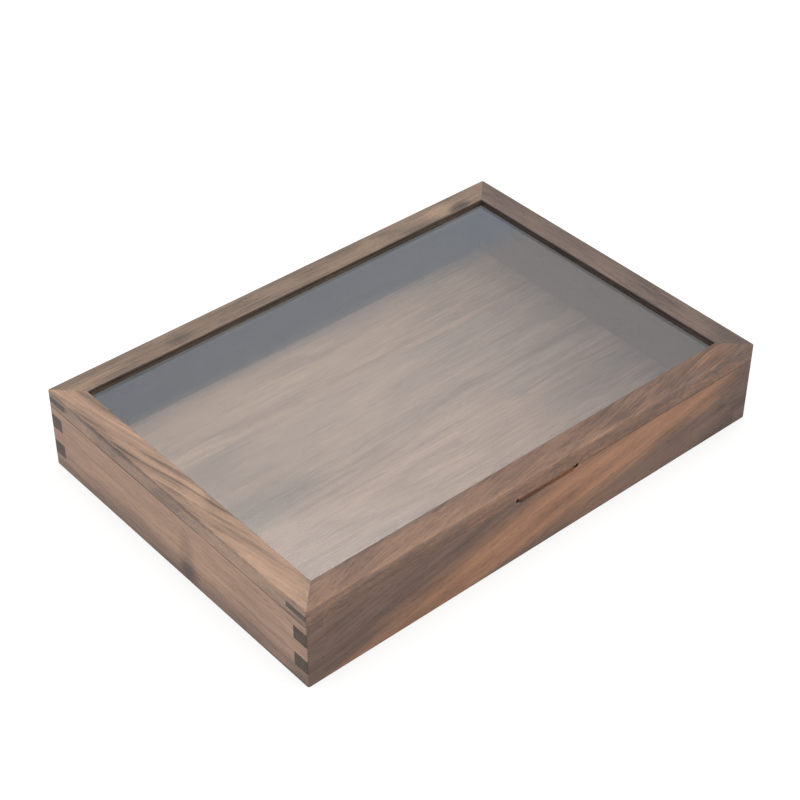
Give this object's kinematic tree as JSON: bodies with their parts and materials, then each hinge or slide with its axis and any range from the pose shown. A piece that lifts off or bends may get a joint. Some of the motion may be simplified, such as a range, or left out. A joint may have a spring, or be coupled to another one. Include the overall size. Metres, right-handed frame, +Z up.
{
  "type": "display box",
  "caption": "Shallow rectangular walnut display box with finger-jointed walls and a hinged lid: a mitred wooden frame round a clear pane, with a fingernail notch at the front seam.",
  "frame": {"origin": "on the resting plane, under the middle of the four walls", "axes": "+X along the front from left to right, +Y from the front to the hinges, +Z up"},
  "size_m": [0.307, 0.2165, 0.05],
  "materials": {
    "walnut_wall": "oiled walnut",
    "walnut_floor": "oiled walnut",
    "walnut_lid": "oiled walnut",
    "clear_glass": "polished",
    "brass": "satin"
  },
  "bodies": {
    "case": {"front_wall": "walnut_wall", "back_wall": "walnut_wall", "left_wall": "walnut_wall", "right_wall": "walnut_wall", "floor_board_1": "walnut_floor", "floor_board_2": "walnut_floor", "floor_board_3": "walnut_floor", "floor_board_4": "walnut_floor", "left_hinge_lower_leaf": "brass", "right_hinge_lower_leaf": "brass", "left_hinge_pin": "brass", "right_hinge_pin": "brass", "lower_leaf_screws": "brass"},
    "lid": {"lid_front_rail": "walnut_lid", "lid_back_rail": "walnut_lid", "lid_left_rail": "walnut_lid", "lid_right_rail": "walnut_lid", "glass_pane": "clear_glass", "left_hinge_upper_leaf": "brass", "right_hinge_upper_leaf": "brass", "upper_leaf_screws": "brass"}
  },
  "joints": [
    {"name": "lid_hinge", "type": "hinge", "parent": "case", "child": "lid", "pos_m": [0, 0.10775, 0.04], "axis": [-1, 0, 0], "range_deg": [0, 100]}
  ]
}
